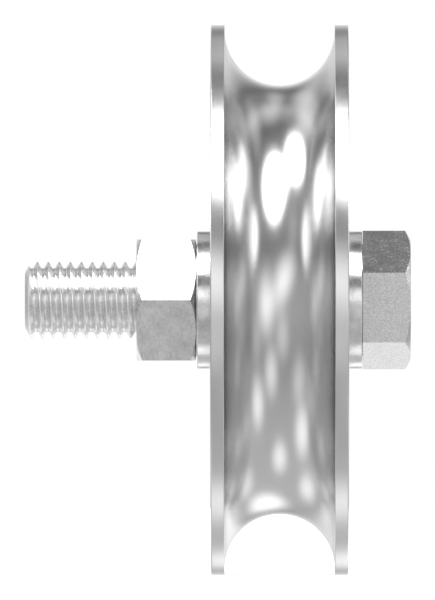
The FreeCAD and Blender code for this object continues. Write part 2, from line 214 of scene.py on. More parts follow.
class Section:
    """The outline of a turned piece, drawn corner by corner in the plane X = 0 and spun about the axle.

    A corner is (along, out): its place along Y and its distance from the axle.
    """

    def __init__(self, name: str, start: Spot, round_off: float = 0.0) -> None:
        """Start an outline at its first corner.

        Args:
            name: name of the piece.
            start: the first corner.
            round_off: radius of the round that it gets once the outline is closed.
        """
        deselect()
        bpy.ops.mesh.primitive_plane_add(size=MM, location=(0, *start))
        self.piece = named(bpy.context.object, name)
        bpy.ops.object.transform_apply(location=True, rotation=True, scale=True)
        bpy.ops.object.mode_set(mode="EDIT")
        bpy.ops.mesh.select_mode(type="VERT")
        bpy.ops.mesh.select_all(action="SELECT")
        bpy.ops.mesh.merge(type="CENTER")
        self.start = start
        self.pen = start
        self.rounds: list[tuple[Spot, float]] = [(start, round_off)] if round_off > 0 else []

    def line(self, corner: Spot, round_off: float = 0.0) -> "Section":
        """Draw a straight side.

        Args:
            corner: where the side ends.
            round_off: radius of the round that the corner gets once the outline is closed.

        Returns:
            The section, so that sides can be chained.
        """
        step = (0, corner[0] - self.pen[0], corner[1] - self.pen[1])
        bpy.ops.mesh.extrude_vertices_move(TRANSFORM_OT_translate={"value": step})
        self.pen = corner
        if round_off > 0:
            self.rounds.append((corner, round_off))
        return self

    def lines(self, *corners: tuple[float, ...]) -> "Section":
        """Draw straight sides to corners given as (along, out) or (along, out, radius of the round).

        Args:
            corners: where the sides end, in order.

        Returns:
            The section, so that sides can be chained.
        """
        for along, out, *radius in corners:
            self.line((along, out), *radius)
        return self

    def arc(self, centre: Spot, degrees: float, steps: int) -> "Section":
        """Draw a round side.

        Args:
            centre: middle of the circle that the side follows.
            degrees: how far it turns; positive is from +Y towards +Z.
            steps: straight pieces along it.

        Returns:
            The section, so that sides can be chained.
        """
        angle = math.radians(degrees)
        bpy.ops.mesh.spin(steps=steps, angle=-angle, center=(0, *centre), axis=(1, 0, 0))
        along, out = self.pen[0] - centre[0], self.pen[1] - centre[1]
        self.pen = (
            centre[0] + along * math.cos(angle) - out * math.sin(angle),
            centre[1] + along * math.sin(angle) + out * math.cos(angle),
        )
        return self

    def round_corners(self, steps: int) -> None:
        """Round the corners that were drawn with a radius.

        Args:
            steps: faces across each round.
        """
        for corner, radius in self.rounds:
            self._select_corner(corner)
            bpy.ops.mesh.bevel(offset=radius, segments=steps, affect="VERTICES")

    def turned(self, steps: int = 192, round_steps: int = 3) -> bpy.types.Object:
        """Close the outline, round its corners and spin it into a solid.

        Args:
            steps: faces around the axle.
            round_steps: faces across each round.

        Returns:
            The solid, with its faces outwards.
        """
        solid = self.start[1] == 0
        if not solid:
            self.line(self.start)
        bpy.ops.mesh.select_all(action="SELECT")
        bpy.ops.mesh.remove_doubles(threshold=MERGE_LIMIT)
        self.round_corners(round_steps)
        bpy.ops.mesh.select_all(action="SELECT")
        bpy.ops.mesh.spin(steps=steps, angle=math.radians(TURN), center=(0, 0, 0), axis=(0, 1, 0))
        bpy.ops.mesh.select_all(action="SELECT")
        bpy.ops.mesh.remove_doubles(threshold=MERGE_LIMIT)
        if solid:
            self._flatten_poles()
        bpy.ops.mesh.select_all(action="SELECT")
        bpy.ops.mesh.normals_make_consistent(inside=False)
        bpy.ops.object.mode_set(mode="OBJECT")
        return self.piece

    def _flatten_poles(self) -> None:
        """Make each end face of a solid bar one face, without a fan of slivers round its middle."""
        mesh = bmesh.from_edit_mesh(self.piece.data)
        for vertex in mesh.verts:
            vertex.select = math.hypot(vertex.co.x, vertex.co.z) < MERGE_LIMIT
        mesh.select_flush_mode()
        bmesh.update_edit_mesh(self.piece.data)
        bpy.ops.mesh.dissolve_verts()

    def _select_corner(self, corner: Spot) -> None:
        """Select the one vertex of the outline that lies at a corner.

        Args:
            corner: the corner.
        """
        mesh = bmesh.from_edit_mesh(self.piece.data)
        place = Vector((0, *corner))
        nearest = min(mesh.verts, key=lambda vertex: (vertex.co - place).length)
        for vertex in mesh.verts:
            vertex.select = vertex is nearest
        mesh.select_flush_mode()
        bmesh.update_edit_mesh(self.piece.data)


def polygon(corners: Iterable[Spot], name: str) -> Section:
    """A section with straight sides only."""
    first, *others = corners
    return Section(name, first).lines(*others)


def bar(
    name: str, sides: int, out: float, ends: Spot, turn: float = 0.0, place: Spot = (0, 0)
) -> bpy.types.Object:
    """A round or many-sided bar along the axle's direction.

    Args:
        name: name of the solid.
        sides: number of its sides.
        out: distance from its middle to its corners.
        ends: where it starts and ends along Y.
        turn: how far its first corner is turned up from +X, in degrees.
        place: X and Z of its middle.

    Returns:
        The bar.
    """
    deselect()
    bpy.ops.mesh.primitive_cylinder_add(
        vertices=sides,
        radius=out,
        depth=ends[1] - ends[0],
        location=(place[0], (ends[0] + ends[1]) / 2, place[1]),
        rotation=(math.radians(90), math.radians(90 - turn), 0),
    )
    piece = named(bpy.context.object, name)
    bpy.ops.object.transform_apply(location=True, rotation=True, scale=True)
    return piece


class Num:
    """A number in a shader: Python's operators on it add Math nodes."""

    def __init__(self, graph: "Graph", socket: bpy.types.NodeSocket) -> None:
        """Wrap an output socket."""
        self.graph = graph
        self.socket = socket

    def math(self, operation: str, *others: "Value") -> "Num":
        """Add a Math node that takes this number first."""
        inputs = dict(enumerate((self, *others)))
        return self.graph.number("ShaderNodeMath", {"operation": operation}, inputs)

    def _swapped(self, operation: str, other: "Value") -> "Num":
        """Add a Math node that takes this number second."""
        return self.graph.number("ShaderNodeMath", {"operation": operation}, {0: other, 1: self})

    def __add__(self, other: "Value") -> "Num":
        """Sum."""
        return self.math("ADD", other)

    def __sub__(self, other: "Value") -> "Num":
        """Difference."""
        return self.math("SUBTRACT", other)

    def __rsub__(self, other: "Value") -> "Num":
        """Difference from a plain number."""
        return self._swapped("SUBTRACT", other)

    def __mul__(self, other: "Value") -> "Num":
        """Product."""
        return self.math("MULTIPLY", other)

    def __truediv__(self, other: "Value") -> "Num":
        """Quotient."""
        return self.math("DIVIDE", other)

    def __abs__(self) -> "Num":
        """Size without sign."""
        return self.math("ABSOLUTE")

    __radd__ = __add__
    __rmul__ = __mul__

    def ramp(self, low: float, high: float, to: Spot = (0.0, 1.0), smooth: bool = True) -> "Num":
        """Run from one value to another while this number goes from low to high.

        Args:
            low: where the run starts.
            high: where it ends.
            to: the values at its start and end.
            smooth: whether it eases in and out.

        Returns:
            The value, held at its ends outside the run.
        """
        return self.graph.number(
            "ShaderNodeMapRange",
            {"interpolation_type": "SMOOTHSTEP" if smooth else "LINEAR", "clamp": True},
            {0: self, 1: low, 2: high, 3: to[0], 4: to[1]},
        )


Value = Union[Num, float]


class Graph:
    """The node tree of one material or of the world."""

    def __init__(self, tree: bpy.types.NodeTree) -> None:
        """Start from an empty tree."""
        self.tree = tree
        tree.nodes.clear()

    def node(self, kind: str, settings: dict[str, Any], inputs: dict[Any, Any]) -> bpy.types.Node:
        """Add a node.

        Args:
            kind: the node's type.
            settings: its settings, set first; stops is a ramp's list of places and greys.
            inputs: values or links of its sockets, by name or number.

        Returns:
            The node.
        """
        made = self.tree.nodes.new(kind)
        for key, value in settings.items():
            if key == "stops":
                self._set_stops(made.color_ramp, value)
            else:
                setattr(made, key, value)
        for key, value in inputs.items():
            if isinstance(value, Num):
                self.tree.links.new(value.socket, made.inputs[key])
            elif isinstance(value, bpy.types.NodeSocket):
                self.tree.links.new(value, made.inputs[key])
            else:
                made.inputs[key].default_value = value
        return made

    @staticmethod
    def _set_stops(ramp: bpy.types.ColorRamp, stops: list[Spot]) -> None:
        """Give a ramp its stops.

        Args:
            ramp: the ramp of a new node.
            stops: its stops, each a place and a grey.
        """
        while len(ramp.elements) < len(stops):
            ramp.elements.new(1.0)
        for element, (place, grey) in zip(ramp.elements, stops):
            element.position = place
            element.color = (grey, grey, grey, 1.0)

    def number(
        self, kind: str, settings: dict[str, Any], inputs: dict[Any, Any], output: Any = 0
    ) -> Num:
        """Add a node and take one number from it."""
        return Num(self, self.node(kind, settings, inputs).outputs[output])

    def place(self) -> bpy.types.NodeSocket:
        """The point on the surface in the part's own frame."""
        return self.node("ShaderNodeTexCoord", {}, {}).outputs["Object"]

    def split(self, vector: bpy.types.NodeSocket) -> tuple[Num, Num, Num]:
        """The three parts of a vector."""
        parts = self.node("ShaderNodeSeparateXYZ", {}, {0: vector}).outputs
        return Num(self, parts[0]), Num(self, parts[1]), Num(self, parts[2])

    def vector(self, across: Value, along: Value, up: Value) -> bpy.types.NodeSocket:
        """A vector from its three parts."""
        return self.node("ShaderNodeCombineXYZ", {}, {0: across, 1: along, 2: up}).outputs[0]

    def noise(
        self, at: bpy.types.NodeSocket, scale: float, detail: float = 2.0, roughness: float = 0.5
    ) -> Num:
        """Cloudy noise from 0 to 1."""
        inputs = {"Vector": at, "Scale": scale, "Detail": detail, "Roughness": roughness}
        return self.number("ShaderNodeTexNoise", {}, inputs)

    def bump(
        self, height: Num, depth: float, under: Optional[bpy.types.NodeSocket] = None
    ) -> bpy.types.NodeSocket:
        """Turn a height from 0 to 1 into a normal.

        Args:
            height: the relief.
            depth: how deep it is, in metres.
            under: a coarser relief's normal that this one lies on.

        Returns:
            The normal.
        """
        inputs: dict[str, Any] = {"Height": height, "Distance": depth, "Strength": 1.0}
        if under is not None:
            inputs["Normal"] = under
        return self.node("ShaderNodeBump", {}, inputs).outputs[0]

    def tint(self, grey: float, shade: Num, spread: float, warmth: float = 0.0) -> bpy.types.NodeSocket:
        """A grey that a shade from 0 to 1 makes darker or lighter.

        Args:
            grey: the middle grey.
            shade: the pattern.
            spread: share by which the grey changes from one end of the pattern to the other.
            warmth: how much red is added to and blue taken from the grey.

        Returns:
            The colour.
        """
        greys = (grey * (1 - spread / 2), grey * (1 + spread / 2))
        dark, light = ((end + warmth, end, end - warmth, 1.0) for end in greys)
        mix = self.node("ShaderNodeMix", {"data_type": "RGBA"}, {0: shade, 6: dark, 7: light})
        return mix.outputs[2]


def surface(name: str) -> tuple[bpy.types.Material, Graph]:
    """A new material with an empty node tree."""
    material = bpy.data.materials.new(name)
    material.use_nodes = True
    return material, Graph(material.node_tree)


def shares(size: float, ends: Spot) -> Spot:
    """Two places given as shares of a size."""
    return size * ends[0], size * ends[1]


class Finish:
    """How a piece's surface looks. Each kind of finish says what goes into its shader."""

    def look(self, graph: Graph) -> dict[str, Any]:
        """The values and links of the shader's sockets."""
        raise NotImplementedError

    def material(self, name: str) -> bpy.types.Material:
        """Make the material.

        Args:
            name: name of the material.

        Returns:
            The material.
        """
        material, graph = surface(name)
        shader = graph.node("ShaderNodeBsdfPrincipled", {}, self.look(graph))
        graph.node("ShaderNodeOutputMaterial", {}, {"Surface": shader.outputs[0]})
        return material


@dataclass(frozen=True)
class TurnedZinc(Finish):
    """Bright zinc on a surface turned about the axle.

    groove is the half width and the inner radius of a polished groove, where the piece has one. Its side,
    floor, edge and corner runs say where those zones start and end, as shares of it. The groove's colour
    carries painted shade, a little all over and more in the corner zone by its side walls. face is the
    distance along Y from which the flat sides start, where they show the rings of the turning tool. feed
    is the spacing of those rings, and drift how fast they change along the turn. Values that end in rough
    add to the roughness, and those that end in scale count a pattern's features in a metre.
    """

    grey: float = 0.75
    roughness: float = 0.24
    groove_roughness: float = 0.2
    groove_edge: float = 0.05
    groove_painted_shade: float = 0.02
    groove_corner_painted_shade: float = 0.2
    groove: Optional[Spot] = None
    side_run: Spot = (0.985, 0.998)
    floor_run: Spot = (0.9, 0.95)
    edge_run: Spot = (0.55, 0.95)
    corner_run: Spot = (0.92, 0.995)
    face: Optional[float] = None
    face_run: float = 0.1 * MM
    feed: float = 0.11 * MM
    drift: float = 0.01
    ring_depth: float = 0.0002 * MM
    ring_rough: float = 0.06
    face_depth: float = 0.003 * MM
    face_rough: float = 0.04
    band_scale: float = 500.0
    band_drift: float = 0.004
    band_shade: float = 0.12
    band_rough: float = 0.12
    cloud: float = 0.06
    cloud_size: float = 6.0 * MM
    cloud_rough: float = 0.08
    wave_scale: float = 700.0
    wave_depth: float = 0.0

    def look(self, graph: Graph) -> dict[str, Any]:
        """The values and links of the shader's sockets.

        Args:
            graph: the material's node tree.

        Returns:
            What goes into each socket.
        """
        at = graph.place()
        across, along, up = graph.split(at)
        out = (across * across + up * up).math("SQRT")
        drifting = graph.vector(along + across * self.drift, out, up * self.drift)
        rings = graph.noise(drifting, 1 / self.feed, 3.0, 0.6)
        clouds = graph.noise(at, 1 / self.cloud_size, 4.0, 0.6)
        shade = 0.5 + (clouds - 0.5) * self.cloud
        rough = self.roughness + (rings - 0.5) * self.ring_rough + (clouds - 0.5) * self.cloud_rough
        relief = None
        if self.face is not None:
            flat = abs(along).ramp(self.face - self.face_run, self.face)
            bands = graph.noise(graph.vector(out, 0.0, up * self.band_drift), self.band_scale, 4.0, 0.7)
            shade = shade + flat * (bands - 0.5) * self.band_shade
            rough = rough + flat * ((bands - 0.5) * self.band_rough + self.face_rough)
            relief = graph.bump(rings * flat, self.face_depth)
        if self.groove is not None:
            half, inner = self.groove
            inside = abs(along).ramp(*shares(half, self.side_run), (1.0, 0.0))
            inside = inside * out.ramp(*shares(inner, self.floor_run))
            edge = abs(along).ramp(*shares(half, self.edge_run))
            corner = abs(along).ramp(*shares(half, self.corner_run))
            # painted shade: the groove's colour is darker all over, and darker still in the corner zone
            # by its side walls
            shade = shade - inside * (corner * self.groove_corner_painted_shade + self.groove_painted_shade)
            rough = rough + inside * (self.groove_roughness - self.roughness + edge * self.groove_edge)
        if self.wave_depth > 0:
            relief = graph.bump(graph.noise(at, self.wave_scale), self.wave_depth)
        return {
            "Base Color": graph.tint(self.grey, shade, 1.0),
            "Metallic": 1.0,
            "Roughness": rough,
            "Normal": graph.bump(rings, self.ring_depth, relief),
        }


@dataclass(frozen=True)
class GrainedZinc(Finish):
    """Bright zinc on forged or sawn steel: fine grain, small pits, scratches and cloudy patches.

    scratch says how the scratches are stretched: a small number along an axis makes them long that way.
    thread is the radius and the end along Y of a threaded shank, which is duller and lighter and has no
    pits. Its crests carry a painted highlight. crest_run says how far under that radius that painted
    highlight starts and ends.
    pit_run is a pit's rim, and pit_groups how strong a noise has to be for pits to show. Values that end
    in rough add to the roughness, and those that end in scale count a pattern's features in a metre.
    """

    grey: float = 0.74
    roughness: float = 0.24
    cloud: float = 0.1
    cloud_size: float = 2.5 * MM
    cloud_rough: float = 0.12
    grain: float = 0.32 * MM
    grain_shade: float = 0.6
    grain_depth: float = 0.006 * MM
    grain_rough: float = 0.08
    pit_scale: float = 2300.0
    pit_run: Spot = (0.05, 0.27)
    pit_group_scale: float = 400.0
    pit_groups: Spot = (0.42, 0.64)
    pit_depth: float = 0.0
    pit_rough: float = 0.15
    scratch: tuple[float, float, float] = (1.0, 0.12, 1.0)
    scratch_scale: float = 4500.0
    scratch_shade: float = 0.3
    thread: Optional[Spot] = None
    thread_run: Spot = (0.99, 1.01)
    thread_end_run: float = 0.2 * MM
    thread_roughness: float = 0.25
    thread_lift: float = 0.2
    thread_calm: float = 0.5
    crest_run: Spot = (0.34 * MM, 0.23 * MM)
    crest_painted_highlight: float = 0.15
    thread_grain: float = 0.012 * MM

    def look(self, graph: Graph) -> dict[str, Any]:
        """The values and links of the shader's sockets.

        Args:
            graph: the material's node tree.

        Returns:
            What goes into each socket.
        """
        at = graph.place()
        across, along, up = graph.split(at)
        grain = graph.noise(at, 1.0 / self.grain, 2.0, 0.6)
        clouds = graph.noise(at, 1.0 / self.cloud_size, 4.0, 0.65)
        stretched = graph.vector(across * self.scratch[0], along * self.scratch[1], up * self.scratch[2])
        scratches = graph.noise(stretched, self.scratch_scale, 2.0, 0.6)
        shade = 0.5 + (clouds - 0.5) * self.cloud
        shade = shade + (scratches - 0.5) * self.scratch_shade
        speckle = (grain - 0.5) * self.grain_shade
        rough = self.roughness + (clouds - 0.5) * self.cloud_rough + (grain - 0.5) * self.grain_rough
        relief = None
        plain: Value = 1.0
        if self.thread is not None:
            reach, end = self.thread
            squared = across * across + up * up
            shank = squared.ramp(*shares(reach**2, self.thread_run), (1.0, 0.0))
            shank = shank * along.ramp(end, end + self.thread_end_run, (1.0, 0.0))
            plain = 1.0 - shank
            shade = shade + shank * self.thread_lift
            speckle = speckle * (1.0 - shank * self.thread_calm)
            rough = rough + shank * (self.thread_roughness - self.roughness)
            # painted highlight: the thread's crests are made lighter
            crest_highlight = shank * squared.ramp(*((reach - under) ** 2 for under in self.crest_run))
            shade = shade + crest_highlight * self.crest_painted_highlight
            relief = graph.bump(grain * shank, self.thread_grain)
        if self.pit_depth > 0:
            cells = graph.number("ShaderNodeTexVoronoi", {}, {"Vector": at, "Scale": self.pit_scale})
            groups = graph.noise(at, self.pit_group_scale, 3.0).ramp(*self.pit_groups)
            pits = cells.ramp(*self.pit_run, (1.0, 0.0)) * groups * plain
            rough = rough + pits * self.pit_rough
            relief = graph.bump(1.0 - pits, self.pit_depth, relief)
        return {
            "Base Color": graph.tint(self.grey, shade + speckle, 1.0),
            "Metallic": 1.0,
            "Roughness": rough,
            "Normal": graph.bump(grain, self.grain_depth, relief),
        }


@dataclass(frozen=True)
class PlainSteel(Finish):
    """Bearing or spring steel with a fine ground surface."""

    grey: float = 0.6
    roughness: float = 0.2
    warmth: float = 0.0
    ring_scale: float = 2500.0
    ring_drift: float = 0.02
    ring_rough: float = 0.1
    depth: float = 0.0004 * MM
    cloud_scale: float = 300.0
    cloud_shade: float = 0.12
    cloud_rough: float = 0.08

    def look(self, graph: Graph) -> dict[str, Any]:
        """The values and links of the shader's sockets.

        Args:
            graph: the material's node tree.

        Returns:
            What goes into each socket.
        """
        at = graph.place()
        across, along, up = graph.split(at)
        out = (across * across + up * up).math("SQRT")
        rings = graph.noise(graph.vector(along, out, up * self.ring_drift), self.ring_scale, 3.0, 0.6)
        clouds = graph.noise(at, self.cloud_scale, 3.0)
        rough = self.roughness + (rings - 0.5) * self.ring_rough + (clouds - 0.5) * self.cloud_rough
        return {
            "Base Color": graph.tint(self.grey, clouds, self.cloud_shade, self.warmth),
            "Metallic": 1.0,
            "Roughness": rough,
            "Normal": graph.bump(rings, self.depth),
        }


@dataclass(frozen=True)
class Rubber(Finish):
    """Moulded nitrile rubber with a dull, slightly grainy skin."""

    grey: float = 0.022
    roughness: float = 0.55
    grain_scale: float = 6000.0
    depth: float = 0.01 * MM
    cloud_scale: float = 250.0
    cloud_shade: float = 0.4
    cloud_rough: float = 0.15

    def look(self, graph: Graph) -> dict[str, Any]:
        """The values and links of the shader's sockets.

        Args:
            graph: the material's node tree.

        Returns:
            What goes into each socket.
        """
        at = graph.place()
        grain = graph.noise(at, self.grain_scale, 2.0)
        clouds = graph.noise(at, self.cloud_scale, 3.0)
        return {
            "Base Color": graph.tint(self.grey, clouds, self.cloud_shade),
            "Roughness": self.roughness + (clouds - 0.5) * self.cloud_rough,
            "Normal": graph.bump(grain, self.depth),
        }


@dataclass(frozen=True)
class Seat:
    """Where a finished piece goes: its body, the record's slot, which is not used, and the CAD nodes that
    it stands for.
    """

    body: str
    slot: str
    nodes: tuple[str, ...]


def seat(piece: bpy.types.Object, place: Seat, material: bpy.types.Material) -> bpy.types.Object:
    """Dress a finished piece and let it ride on its body.

    Args:
        piece: the finished piece.
        place: where it goes.
        material: its finish.

    Returns:
        The piece.
    """
    piece.data.materials.clear()
    piece.data.materials.append(material)
    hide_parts(*place.nodes)
    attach(piece, place.body)
    log.info("%s: %d faces, rides on %s", piece.name, len(piece.data.polygons), place.body)
    return piece


@dataclass
class Wheel:
    """The turned wheel with its round groove, its stepped bore and the retaining ring's groove."""

    body: Reach = field(default_factory=lambda: Reach.of("wheel_body"))
    bearing: Reach = field(default_factory=lambda: Reach.of("bearing_outer_ring"))
    rail: float = 10 * MM
    groove_depth: float = 11 * MM
    shoulder_step: float = 2.5 * MM
    ring_groove_depth: float = 1.25 * MM
    ring_groove_width: float = 1.95 * MM
    rim_edge: float = 0.25 * MM
    bore_edge: float = 0.8 * MM
    fine_edge: float = 0.12 * MM
    arc_steps: int = 72
    turn_steps: int = 320

    def build(self) -> bpy.types.Object:
        """Turn the wheel.

        Returns:
            The finished wheel.
        """
        low, high, rim = self.body.low, self.body.high, self.body.out
        centre = rim - self.groove_depth + self.rail
        seat_out, seat_end = self.bearing.out, self.bearing.high
        shoulder = seat_out - self.shoulder_step
        near = self.bearing.low
        far = near - self.ring_groove_width
        deep = seat_out + self.ring_groove_depth
        edge, small = self.bore_edge, self.fine_edge
        section = Section("wheel_turned", (low, seat_out + edge))
        section.lines((low, rim, self.rim_edge), (-self.rail, rim, small), (-self.rail, centre))
        section.arc((0, centre), 180, self.arc_steps)
        section.lines(
            (self.rail, rim, small),
            (high, rim, self.rim_edge),
            (high, shoulder + edge, small),
            (high - edge, shoulder, small),
            (seat_end, shoulder, small),
            (seat_end, seat_out),
            (near, seat_out, small),
            (near, deep),
            (far, deep),
            (far, seat_out, small),
            (low + edge, seat_out, small),
        )
        return shade(section.turned(self.turn_steps))

    def dress(self, finish: TurnedZinc) -> bpy.types.Object:
        """Build the wheel and give it its finish."""
        place = Seat("wheel", "wheel_steel", ("wheel_body",))
        return seat(self.build(), place, finish.material("zinc_wheel"))


@dataclass
class Collar:
    """A stepped collar that clamps the bearing's inner ring."""

    side: Side
    bore: float = 7.1 * MM
    bearing_bore: float = 10 * MM
    spigot_play: float = 0.02 * MM
    spigot_edge: float = 0.4 * MM
    edge: float = 0.15 * MM
    steps: int = 192

    def build(self) -> bpy.types.Object:
        """Turn the collar.

        Returns:
            The finished collar.
        """
        reach = Reach.of(f"collar_{self.side.word}")
        sign = self.side.value
        outer, inner = sorted((reach.low, reach.high), key=abs, reverse=True)
        shoulder = sign * Reach.of("bearing_inner_ring").high
        spigot = self.bearing_bore - self.spigot_play
        section = Section(f"collar_turned_{self.side.word}", (inner, self.bore)).lines(
            (inner, spigot, self.spigot_edge),
            (shoulder, spigot),
            (shoulder, reach.out, self.edge / 2),
            (outer, reach.out, self.edge),
            (outer, self.bore, self.edge),
        )
        return shade(section.turned(self.steps))

    def dress(self, finish: TurnedZinc) -> bpy.types.Object:
        """Build the collar and give it its finish."""
        place = Seat("axle", "collar_steel", (f"collar_{self.side.word}",))
        return seat(self.build(), place, finish.material(f"zinc_collar_{self.side.word}"))


@dataclass
class Thread:
    """A right-hand metric thread: its crest and root radii are those of the finished bolt."""

    pitch: float = 2.0 * MM
    crest: float = 6.925 * MM
    root: float = 5.77 * MM
    crest_flat: float = 0.25 * MM
    root_flat: float = 0.42 * MM
    crest_round: float = 0.04 * MM
    root_round: float = 0.12 * MM
    first_crest: float = -44.1 * MM
    round_steps: int = 2
    steps: int = 80

    def solid(self, name: str, ends: Spot, grow: float = 0.0) -> bpy.types.Object:
        """A threaded bar with flat ends.

        Args:
            name: name of the solid.
            ends: where it starts and ends along Y.
            grow: how much larger its radius is than the bolt's, for cutting a nut.

        Returns:
            The closed solid.
        """
        turns = math.ceil((ends[1] - ends[0]) / self.pitch) + 3
        lead = math.ceil((self.first_crest - ends[0]) / self.pitch) + 2
        crest_at = self.first_crest - lead * self.pitch
        crest, root = self.crest + grow, self.root + grow
        half_crest, half_root = self.crest_flat / 2, self.root_flat / 2
        section = Section(name, (crest_at - self.pitch / 2, root)).lines(
            (crest_at - self.pitch / 2 + half_root, root, self.root_round),
            (crest_at - half_crest, crest, self.crest_round),
            (crest_at + half_crest, crest, self.crest_round),
            (crest_at + self.pitch / 2 - half_root, root, self.root_round),
            (crest_at + self.pitch / 2, root),
        )
        section.round_corners(self.round_steps)
        bpy.ops.object.mode_set(mode="OBJECT")
        piece = section.piece
        screw = piece.modifiers.new("helix", "SCREW")
        screw.axis = "Y"
        screw.screw_offset = self.pitch
        screw.iterations = turns
        screw.steps = self.steps
        screw.render_steps = self.steps
        screw.use_merge_vertices = True
        screw.merge_threshold = MERGE_LIMIT
        apply_modifier(piece, screw)
        self._close(piece, ends)
        return piece

    @staticmethod
    def _close(piece: bpy.types.Object, ends: Spot) -> None:
        """Cut the helix square at both ends and close it.

        Args:
            piece: the open helix.
            ends: where it is cut along Y.
        """
        bpy.ops.object.mode_set(mode="EDIT")
        bpy.ops.mesh.select_all(action="SELECT")
        bpy.ops.mesh.remove_doubles(threshold=MERGE_LIMIT)
        for place, way in zip(ends, (-1, 1)):
            bpy.ops.mesh.select_all(action="SELECT")
            bpy.ops.mesh.bisect(
                plane_co=(0, place, 0), plane_no=(0, way, 0), use_fill=True, clear_outer=True
            )
        bpy.ops.mesh.select_all(action="SELECT")
        bpy.ops.mesh.normals_make_consistent(inside=False)
        bpy.ops.object.mode_set(mode="OBJECT")


@dataclass(frozen=True)
class Hexagon:
    """The six flats that the bolt's head and the nut share, and the turned blank that they are cut from.

    flat_inset and washer_inset say how far inside the flats the chamfer and the washer face end. margin
    is how much wider than its corners the blank is.
    """

    flats: float = 22 * MM
    flat_inset: float = 0.03 * MM
    washer_inset: float = 0.8 * MM
    margin: float = 1.05
    edge: float = 0.07 * MM

    @property
    def corner(self) -> float:
        """Distance from the middle to a corner."""
        return self.flats / math.sqrt(3)

    @property
    def wide(self) -> float:
        """Radius of the blank."""
        return self.corner * self.margin

    @property
    def flat(self) -> float:
        """Radius at which the chamfer meets the end face."""
        return self.flats / 2 - self.flat_inset

    @property
    def washer(self) -> float:
        """Radius of the washer face."""
        return self.flats / 2 - self.washer_inset

    @property
    def drop(self) -> float:
        """How far the chamfer runs back along the axle."""
        return (self.wide - self.flat) * math.tan(HEX_CHAMFER)

    def cut(self, name: str, blank: bpy.types.Object, ends: Spot, turn: float = 0.0) -> bpy.types.Object:
        """Cut the flats.

        Args:
            name: name of the solid.
            blank: the turned blank, which is used up.
            ends: two places along Y beyond its ends.
            turn: how far the first corner is turned up from +X, in degrees.

        Returns:
            The solid, with its edges broken.
        """
        solid = bar(name, HEX_SIDES, self.corner, ends, turn)
        return round_edges(combine(solid, blank, Join.COMMON), self.edge)


@dataclass
class Bolt:
    """The hexagon bolt, threaded up to its head.

    full_step and neck_step say how far past the crest and below the root the shank's blank reaches, and
    run_out how steeply it comes down where the thread ends.
    """

    thread: Thread = field(default_factory=Thread)
    hexagon: Hexagon = field(default_factory=Hexagon)
    turn: float = 22.7
    washer_face: float = 0.1 * MM
    point_step: float = 1.825 * MM
    full_step: float = 0.5 * MM
    neck_step: float = 0.1 * MM
    run_out: float = 0.6
    thread_end: float = 12.8 * MM
    spare: float = 1.5 * MM
    steps: int = 192

    def build(self) -> bpy.types.Object:
        """Make the bolt from its threaded shank and its head.

        Returns:
            The finished bolt.
        """
        reach = Reach.of("bolt")
        seat_face = Reach.of("collar_head_side").high
        hexagon = self.hexagon
        under = seat_face + self.washer_face
        head_blank = polygon(
            (
                (seat_face, 0),
                (seat_face, hexagon.washer),
                (under, hexagon.washer),
                (under, hexagon.wide),
                (reach.high - hexagon.drop, hexagon.wide),
                (reach.high, hexagon.flat),
                (reach.high, 0),
            ),
            "head_blank",
        ).turned(self.steps)
        ends = (seat_face - self.spare, reach.high + self.spare)
        head = hexagon.cut("bolt_hexagon", head_blank, ends, self.turn)
        point = self.thread.crest - self.point_step
        full = self.thread.crest + self.full_step
        neck = self.thread.root - self.neck_step
        shank_blank = polygon(
            (
                (reach.low, 0),
                (reach.low, point),
                (reach.low + (full - point) * math.tan(HEX_CHAMFER), full),
                (self.thread_end, full),
                (self.thread_end + (full - neck) * self.run_out, neck),
                (seat_face + self.spare, neck),
                (seat_face + self.spare, 0),
            ),
            "shank_blank",
        ).turned(self.steps)
        ends = (reach.low - self.spare, seat_face + 2 * self.spare)
        shank = self.thread.solid("bolt_threaded", ends)
        combine(shank, shank_blank, Join.COMMON)
        return shade(cleaned(combine(shank, head, Join.ADD)))

    def dress(self, finish: GrainedZinc) -> bpy.types.Object:
        """Build the bolt and give it its finish."""
        return seat(self.build(), Seat("axle", "bolt_steel", ("bolt",)), finish.material("zinc_bolt"))


@dataclass
class Nut:
    """The hexagon nut, chamfered on both faces."""

    thread: Thread = field(default_factory=Thread)
    hexagon: Hexagon = field(default_factory=Hexagon)
    washer_face: float = 0.2 * MM
    mouth: float = 7.55 * MM
    bore_step: float = 0.35 * MM
    thread_play: float = 0.06 * MM
    spare: float = 1.0 * MM
    steps: int = 192

    def build(self) -> bpy.types.Object:
        """Make the nut from its hexagon, its chamfers and its threaded bore.

        Returns:
            The finished nut.
        """
        reach = Reach.of("nut")
        hexagon = self.hexagon
        inner = reach.high - self.washer_face
        bore = self.thread.root + self.bore_step
        sink = (self.mouth - bore) * math.tan(HEX_CHAMFER)
        blank = polygon(
            (
                (reach.low, self.mouth),
                (reach.low, hexagon.flat),
                (reach.low + hexagon.drop, hexagon.wide),
                (inner - hexagon.drop, hexagon.wide),
                (inner, hexagon.flat),
                (inner, hexagon.washer),
                (reach.high, hexagon.washer),
                (reach.high, self.mouth),
                (reach.high - sink, bore),
                (reach.low + sink, bore),
            ),
            "nut_blank",
        ).turned(self.steps)
        ends = (reach.low - self.spare, reach.high + self.spare)
        nut = hexagon.cut("nut_hexagon", blank, ends)
        tap = self.thread.solid("nut_tap", ends, self.thread_play)
        return shade(cleaned(combine(nut, tap, Join.TAKE_AWAY)))

    def dress(self, finish: GrainedZinc) -> bpy.types.Object:
        """Build the nut and give it its finish."""
        return seat(self.build(), Seat("axle", "nut_steel", ("nut",)), finish.material("zinc_nut"))


